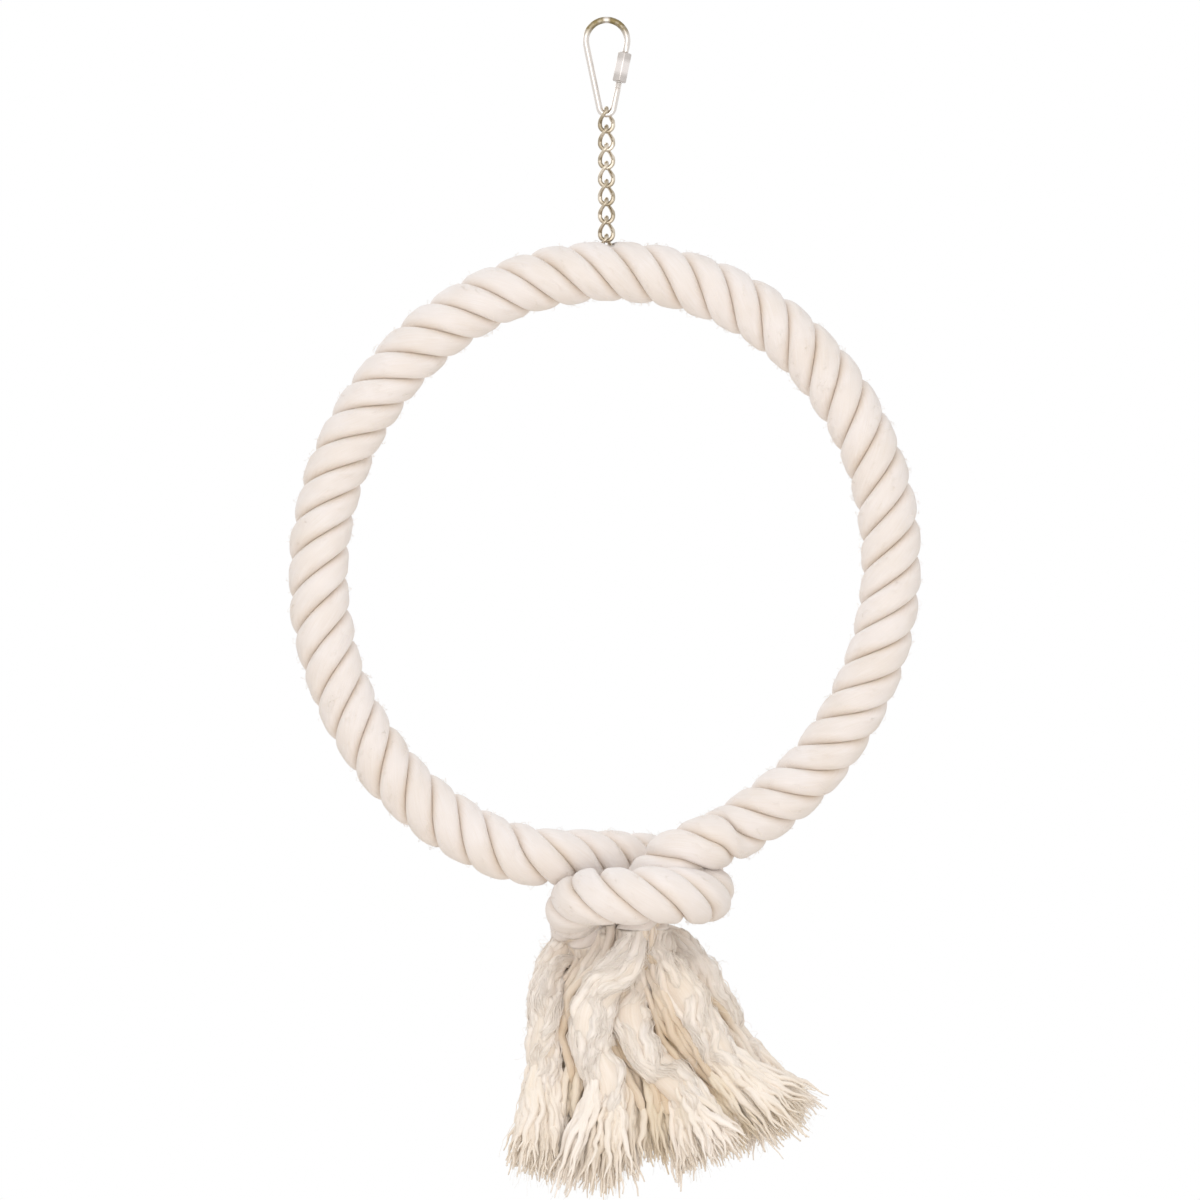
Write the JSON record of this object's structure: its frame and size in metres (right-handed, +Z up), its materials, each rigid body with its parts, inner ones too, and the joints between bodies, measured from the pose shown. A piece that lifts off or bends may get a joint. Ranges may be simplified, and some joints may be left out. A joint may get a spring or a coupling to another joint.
{
  "type": "bird rope ring",
  "caption": "Laid cotton rope ring, knotted at the bottom with its strands hanging frayed, on a twist-link chain and a pear-shaped screw link.",
  "frame": {"origin": "inside top of the screw link's crown, where the ring hangs", "axes": "+Z up along the chain, +X to the right in the front view, and the rope ring lies in the XZ plane, seen from -Y"},
  "size_m": [0.3013, 0.0818, 0.5625],
  "materials": {
    "plated_steel": "bright nickel plate, warm",
    "core_steel": "drawn wire",
    "cotton": "natural undyed cotton, laid rope",
    "frayed_cotton": "natural undyed cotton, frayed"
  },
  "bodies": {
    "screw_link": {"quick_link_body": "plated_steel"},
    "nut": {"quick_link_nut": "plated_steel"},
    "link_1": {"chain_link_1": "plated_steel"},
    "link_2": {"chain_link_2": "plated_steel"},
    "link_3": {"chain_link_3": "plated_steel"},
    "link_4": {"chain_link_4": "plated_steel"},
    "link_5": {"chain_link_5": "plated_steel"},
    "link_6": {"chain_link_6": "plated_steel"},
    "link_7": {"chain_link_7": "plated_steel"},
    "ring": {"chain_link_8": "plated_steel", "anchor_link": "plated_steel", "core_wire": "core_steel", "rope_strand_1": "cotton", "rope_strand_2": "cotton", "rope_strand_3": "cotton", "tail_strand_1": "cotton", "tail_strand_2": "cotton", "tail_strand_3": "cotton", "tail_strand_4": "cotton", "tail_strand_5": "cotton", "tail_strand_6": "cotton", "tail_tuft_1": "frayed_cotton", "tail_tuft_2": "frayed_cotton", "tail_tuft_3": "frayed_cotton", "tail_tuft_4": "frayed_cotton", "tail_tuft_5": "frayed_cotton", "tail_tuft_6": "frayed_cotton"}
  },
  "joints": [
    {"name": "nut_travel", "type": "slide", "parent": "screw_link", "child": "nut", "axis": [-0.2044, 0, -0.9789], "range_m": [0, 0.00975]},
    {"name": "link_1_swing", "type": "hinge", "parent": "screw_link", "child": "link_1", "pos_m": [0, 0, -0.04355], "axis": [1, 0, 0], "range_deg": [-30, 30]},
    {"name": "link_2_swing", "type": "hinge", "parent": "link_1", "child": "link_2", "pos_m": [0, 0, -0.04935], "axis": [0, 1, 0], "range_deg": [-30, 30]},
    {"name": "link_3_swing", "type": "hinge", "parent": "link_2", "child": "link_3", "pos_m": [0, 0, -0.06045], "axis": [1, 0, 0], "range_deg": [-30, 30]},
    {"name": "link_4_swing", "type": "hinge", "parent": "link_3", "child": "link_4", "pos_m": [0, 0, -0.06675], "axis": [0, 1, 0], "range_deg": [-30, 30]},
    {"name": "link_5_swing", "type": "hinge", "parent": "link_4", "child": "link_5", "pos_m": [0, 0, -0.07785], "axis": [1, 0, 0], "range_deg": [-30, 30]},
    {"name": "link_6_swing", "type": "hinge", "parent": "link_5", "child": "link_6", "pos_m": [0, 0, -0.08415], "axis": [0, 1, 0], "range_deg": [-30, 30]},
    {"name": "link_7_swing", "type": "hinge", "parent": "link_6", "child": "link_7", "pos_m": [0, 0, -0.09525], "axis": [1, 0, 0], "range_deg": [-30, 30]},
    {"name": "ring_swing", "type": "hinge", "parent": "link_7", "child": "ring", "pos_m": [0, 0, -0.10155], "axis": [0, 1, 0], "range_deg": [-30, 30]}
  ]
}
